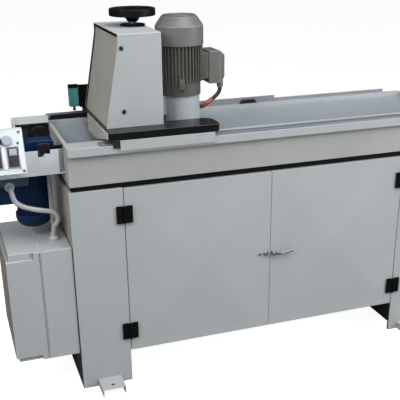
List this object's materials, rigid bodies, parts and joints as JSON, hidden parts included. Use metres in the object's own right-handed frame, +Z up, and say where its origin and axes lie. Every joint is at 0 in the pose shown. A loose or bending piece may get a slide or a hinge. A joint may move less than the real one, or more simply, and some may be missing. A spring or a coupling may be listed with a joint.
{
  "type": "knife grinding machine",
  "caption": "Floor-standing planer knife grinder: cabinet base, trough bed, travelling carriage with vertical cup-wheel head, chain drive and control box.",
  "frame": {"origin": "centre of the machine's outline on the floor", "axes": "+X along the bed, away from the drive and control box; +Y towards the back; +Z up; doors face -Y"},
  "size_m": [1.855, 0.6, 1.322],
  "materials": {
    "cabinet_paint": "satin",
    "black_paint": "satin",
    "steel": "satin",
    "chain_steel": "oiled",
    "handle_metal": "satin",
    "seal_rubber": "matte",
    "motor_paint": "satin",
    "blue_paint": "gloss",
    "green_plastic": "gloss",
    "panel_white": "satin",
    "black_plastic": "matte",
    "red_plastic": "gloss",
    "abrasive": "rough",
    "conduit_grey": "matte",
    "cable_black": "matte"
  },
  "bodies": {
    "frame": {"left_leg": "cabinet_paint", "right_leg": "cabinet_paint", "foot_lugs": "cabinet_paint", "cabinet_floor": "cabinet_paint", "cabinet_back": "cabinet_paint", "bed_seal": "seal_rubber", "bed": "cabinet_paint", "front_rail": "steel", "rear_rail": "cabinet_paint", "trip_rail": "cabinet_paint", "bed_brackets": "cabinet_paint", "drive_bracket": "cabinet_paint", "gearbox": "blue_paint", "drive_chain": "chain_steel", "drive_motor": "blue_paint", "enclosure_body": "cabinet_paint", "contactors": "black_plastic", "cable_glands": "conduit_grey", "motor_conduit": "conduit_grey", "control_box": "panel_white", "control_panel": "panel_white", "leg_hinge_leaves": "black_paint"},
    "left_door_leaf": {"left_door": "cabinet_paint", "left_hinge_leaves": "black_paint"},
    "right_door_leaf": {"right_door": "cabinet_paint", "right_hinge_leaves": "black_paint"},
    "handle": {"door_handle": "handle_metal"},
    "enclosure_door": {"enclosure_lid": "cabinet_paint"},
    "carriage": {"carriage_base": "black_paint", "carriage_skirt": "cabinet_paint", "guide_pads": "black_plastic", "carriage_apron": "cabinet_paint", "column": "cabinet_paint", "head_cover": "cabinet_paint", "cover_side_panel": "cabinet_paint", "cover_screws": "black_paint", "limit_switch": "green_plastic", "switch_bracket": "black_paint"},
    "switch_plunger": {"limit_plunger": "steel"},
    "head": {"head_slide": "cabinet_paint", "grinding_motor": "motor_paint", "motor_cowl": "motor_paint", "terminal_box": "motor_paint", "motor_cable": "cable_black"},
    "spindle": {"spindle_shaft": "steel", "grinding_wheel": "abrasive", "motor_fan": "black_plastic"},
    "feed": {"handwheel": "black_paint", "feed_screw": "steel"},
    "knife_table": {"knife_bar": "steel", "knife_clamp": "steel"},
    "tilt_lock": {"table_lock": "steel"},
    "drive_wheel": {"drive_sprocket": "steel"},
    "idler_wheel": {"idler_sprocket": "steel"},
    "clutch": {"clutch_lever": "black_paint"},
    "left_dog": {"left_trip_dog": "black_paint"},
    "right_dog": {"right_trip_dog": "black_paint"},
    "stop_button": {"emergency_stop": "red_plastic"},
    "left_switch": {"left_rocker": "black_plastic"},
    "right_switch": {"right_rocker": "black_plastic"}
  },
  "joints": [
    {"name": "carriage_slide", "type": "slide", "parent": "frame", "child": "carriage", "axis": [1, 0, 0], "range_m": [-0.02, 0.9]},
    {"name": "drive_wheel_spin", "type": "hinge", "parent": "frame", "child": "drive_wheel", "pos_m": [-0.6695, -0.129, 0.87], "axis": [0, 1, 0], "range_deg": [-40, 1722]},
    {"name": "idler_spin", "type": "hinge", "parent": "frame", "child": "idler_wheel", "pos_m": [0.8125, -0.129, 0.87], "axis": [0, 1, 0], "range_deg": [-40, 1722]},
    {"name": "handwheel_turn", "type": "hinge", "parent": "carriage", "child": "feed", "pos_m": [-0.2975, 0.042, 1.3], "axis": [0, 0, 1], "range_deg": [-540, 4050]},
    {"name": "head_slide_feed", "type": "slide", "parent": "carriage", "child": "head", "axis": [0, 0, 1], "range_m": [-0.0061, 0.0451]},
    {"name": "spindle_spin", "type": "hinge", "parent": "head", "child": "spindle", "pos_m": [-0.16, -0.06, 1], "axis": [0, 0, 1], "continuous": true},
    {"name": "left_door_hinge", "type": "hinge", "parent": "frame", "child": "left_door_leaf", "pos_m": [-0.421, -0.228, 0.44], "axis": [0, 0, -1], "range_deg": [0, 110]},
    {"name": "right_door_hinge", "type": "hinge", "parent": "frame", "child": "right_door_leaf", "pos_m": [0.686, -0.228, 0.44], "axis": [0, 0, 1], "range_deg": [0, 110]},
    {"name": "handle_turn", "type": "hinge", "parent": "right_door_leaf", "child": "handle", "pos_m": [0.1445, -0.228, 0.436], "axis": [0, 1, 0], "range_deg": [0, 90]},
    {"name": "enclosure_hinge", "type": "hinge", "parent": "frame", "child": "enclosure_door", "pos_m": [-0.71565, 0.144, 0.357], "axis": [0, 0, -1], "range_deg": [0, 110]},
    {"name": "knife_table_tilt", "type": "hinge", "parent": "frame", "child": "knife_table", "pos_m": [0.3, -0.055, 0.833], "axis": [1, 0, 0], "range_deg": [-40, 40]},
    {"name": "tilt_lock_turn", "type": "hinge", "parent": "frame", "child": "tilt_lock", "pos_m": [0.715, -0.037, 0.853], "axis": [1, 0, 0], "range_deg": [-30, 30]},
    {"name": "clutch_turn", "type": "hinge", "parent": "frame", "child": "clutch", "pos_m": [-0.6695, -0.146, 0.87], "axis": [0, 1, 0], "range_deg": [-30, 30]},
    {"name": "plunger_press", "type": "slide", "parent": "carriage", "child": "switch_plunger", "axis": [0, 0, 1], "range_m": [0, 0.005], "stiffness_N_per_m": 300, "springref_m": -0.004},
    {"name": "left_dog_slide", "type": "slide", "parent": "frame", "child": "left_dog", "axis": [1, 0, 0], "range_m": [-0.005, 0.06]},
    {"name": "right_dog_slide", "type": "slide", "parent": "frame", "child": "right_dog", "axis": [1, 0, 0], "range_m": [-0.25, 0.08]},
    {"name": "stop_press", "type": "slide", "parent": "frame", "child": "stop_button", "axis": [0, 0.9555, -0.2951], "range_m": [0, 0.004], "stiffness_N_per_m": 600, "springref_m": -0.003},
    {"name": "left_switch_rock", "type": "hinge", "parent": "frame", "child": "left_switch", "pos_m": [-0.8245, -0.20693, 0.90048], "axis": [1, 0, 0], "range_deg": [-6, 6]},
    {"name": "right_switch_rock", "type": "hinge", "parent": "frame", "child": "right_switch", "pos_m": [-0.7705, -0.20693, 0.90048], "axis": [1, 0, 0], "range_deg": [-6, 6]}
  ],
  "couplings": [
    {"joint": "drive_wheel_spin", "follows": "carriage_slide", "rad_per_m": 33.333},
    {"joint": "idler_spin", "follows": "carriage_slide", "rad_per_m": 33.333},
    {"joint": "head_slide_feed", "follows": "handwheel_turn", "m_per_rad": 0.00063662}
  ]
}
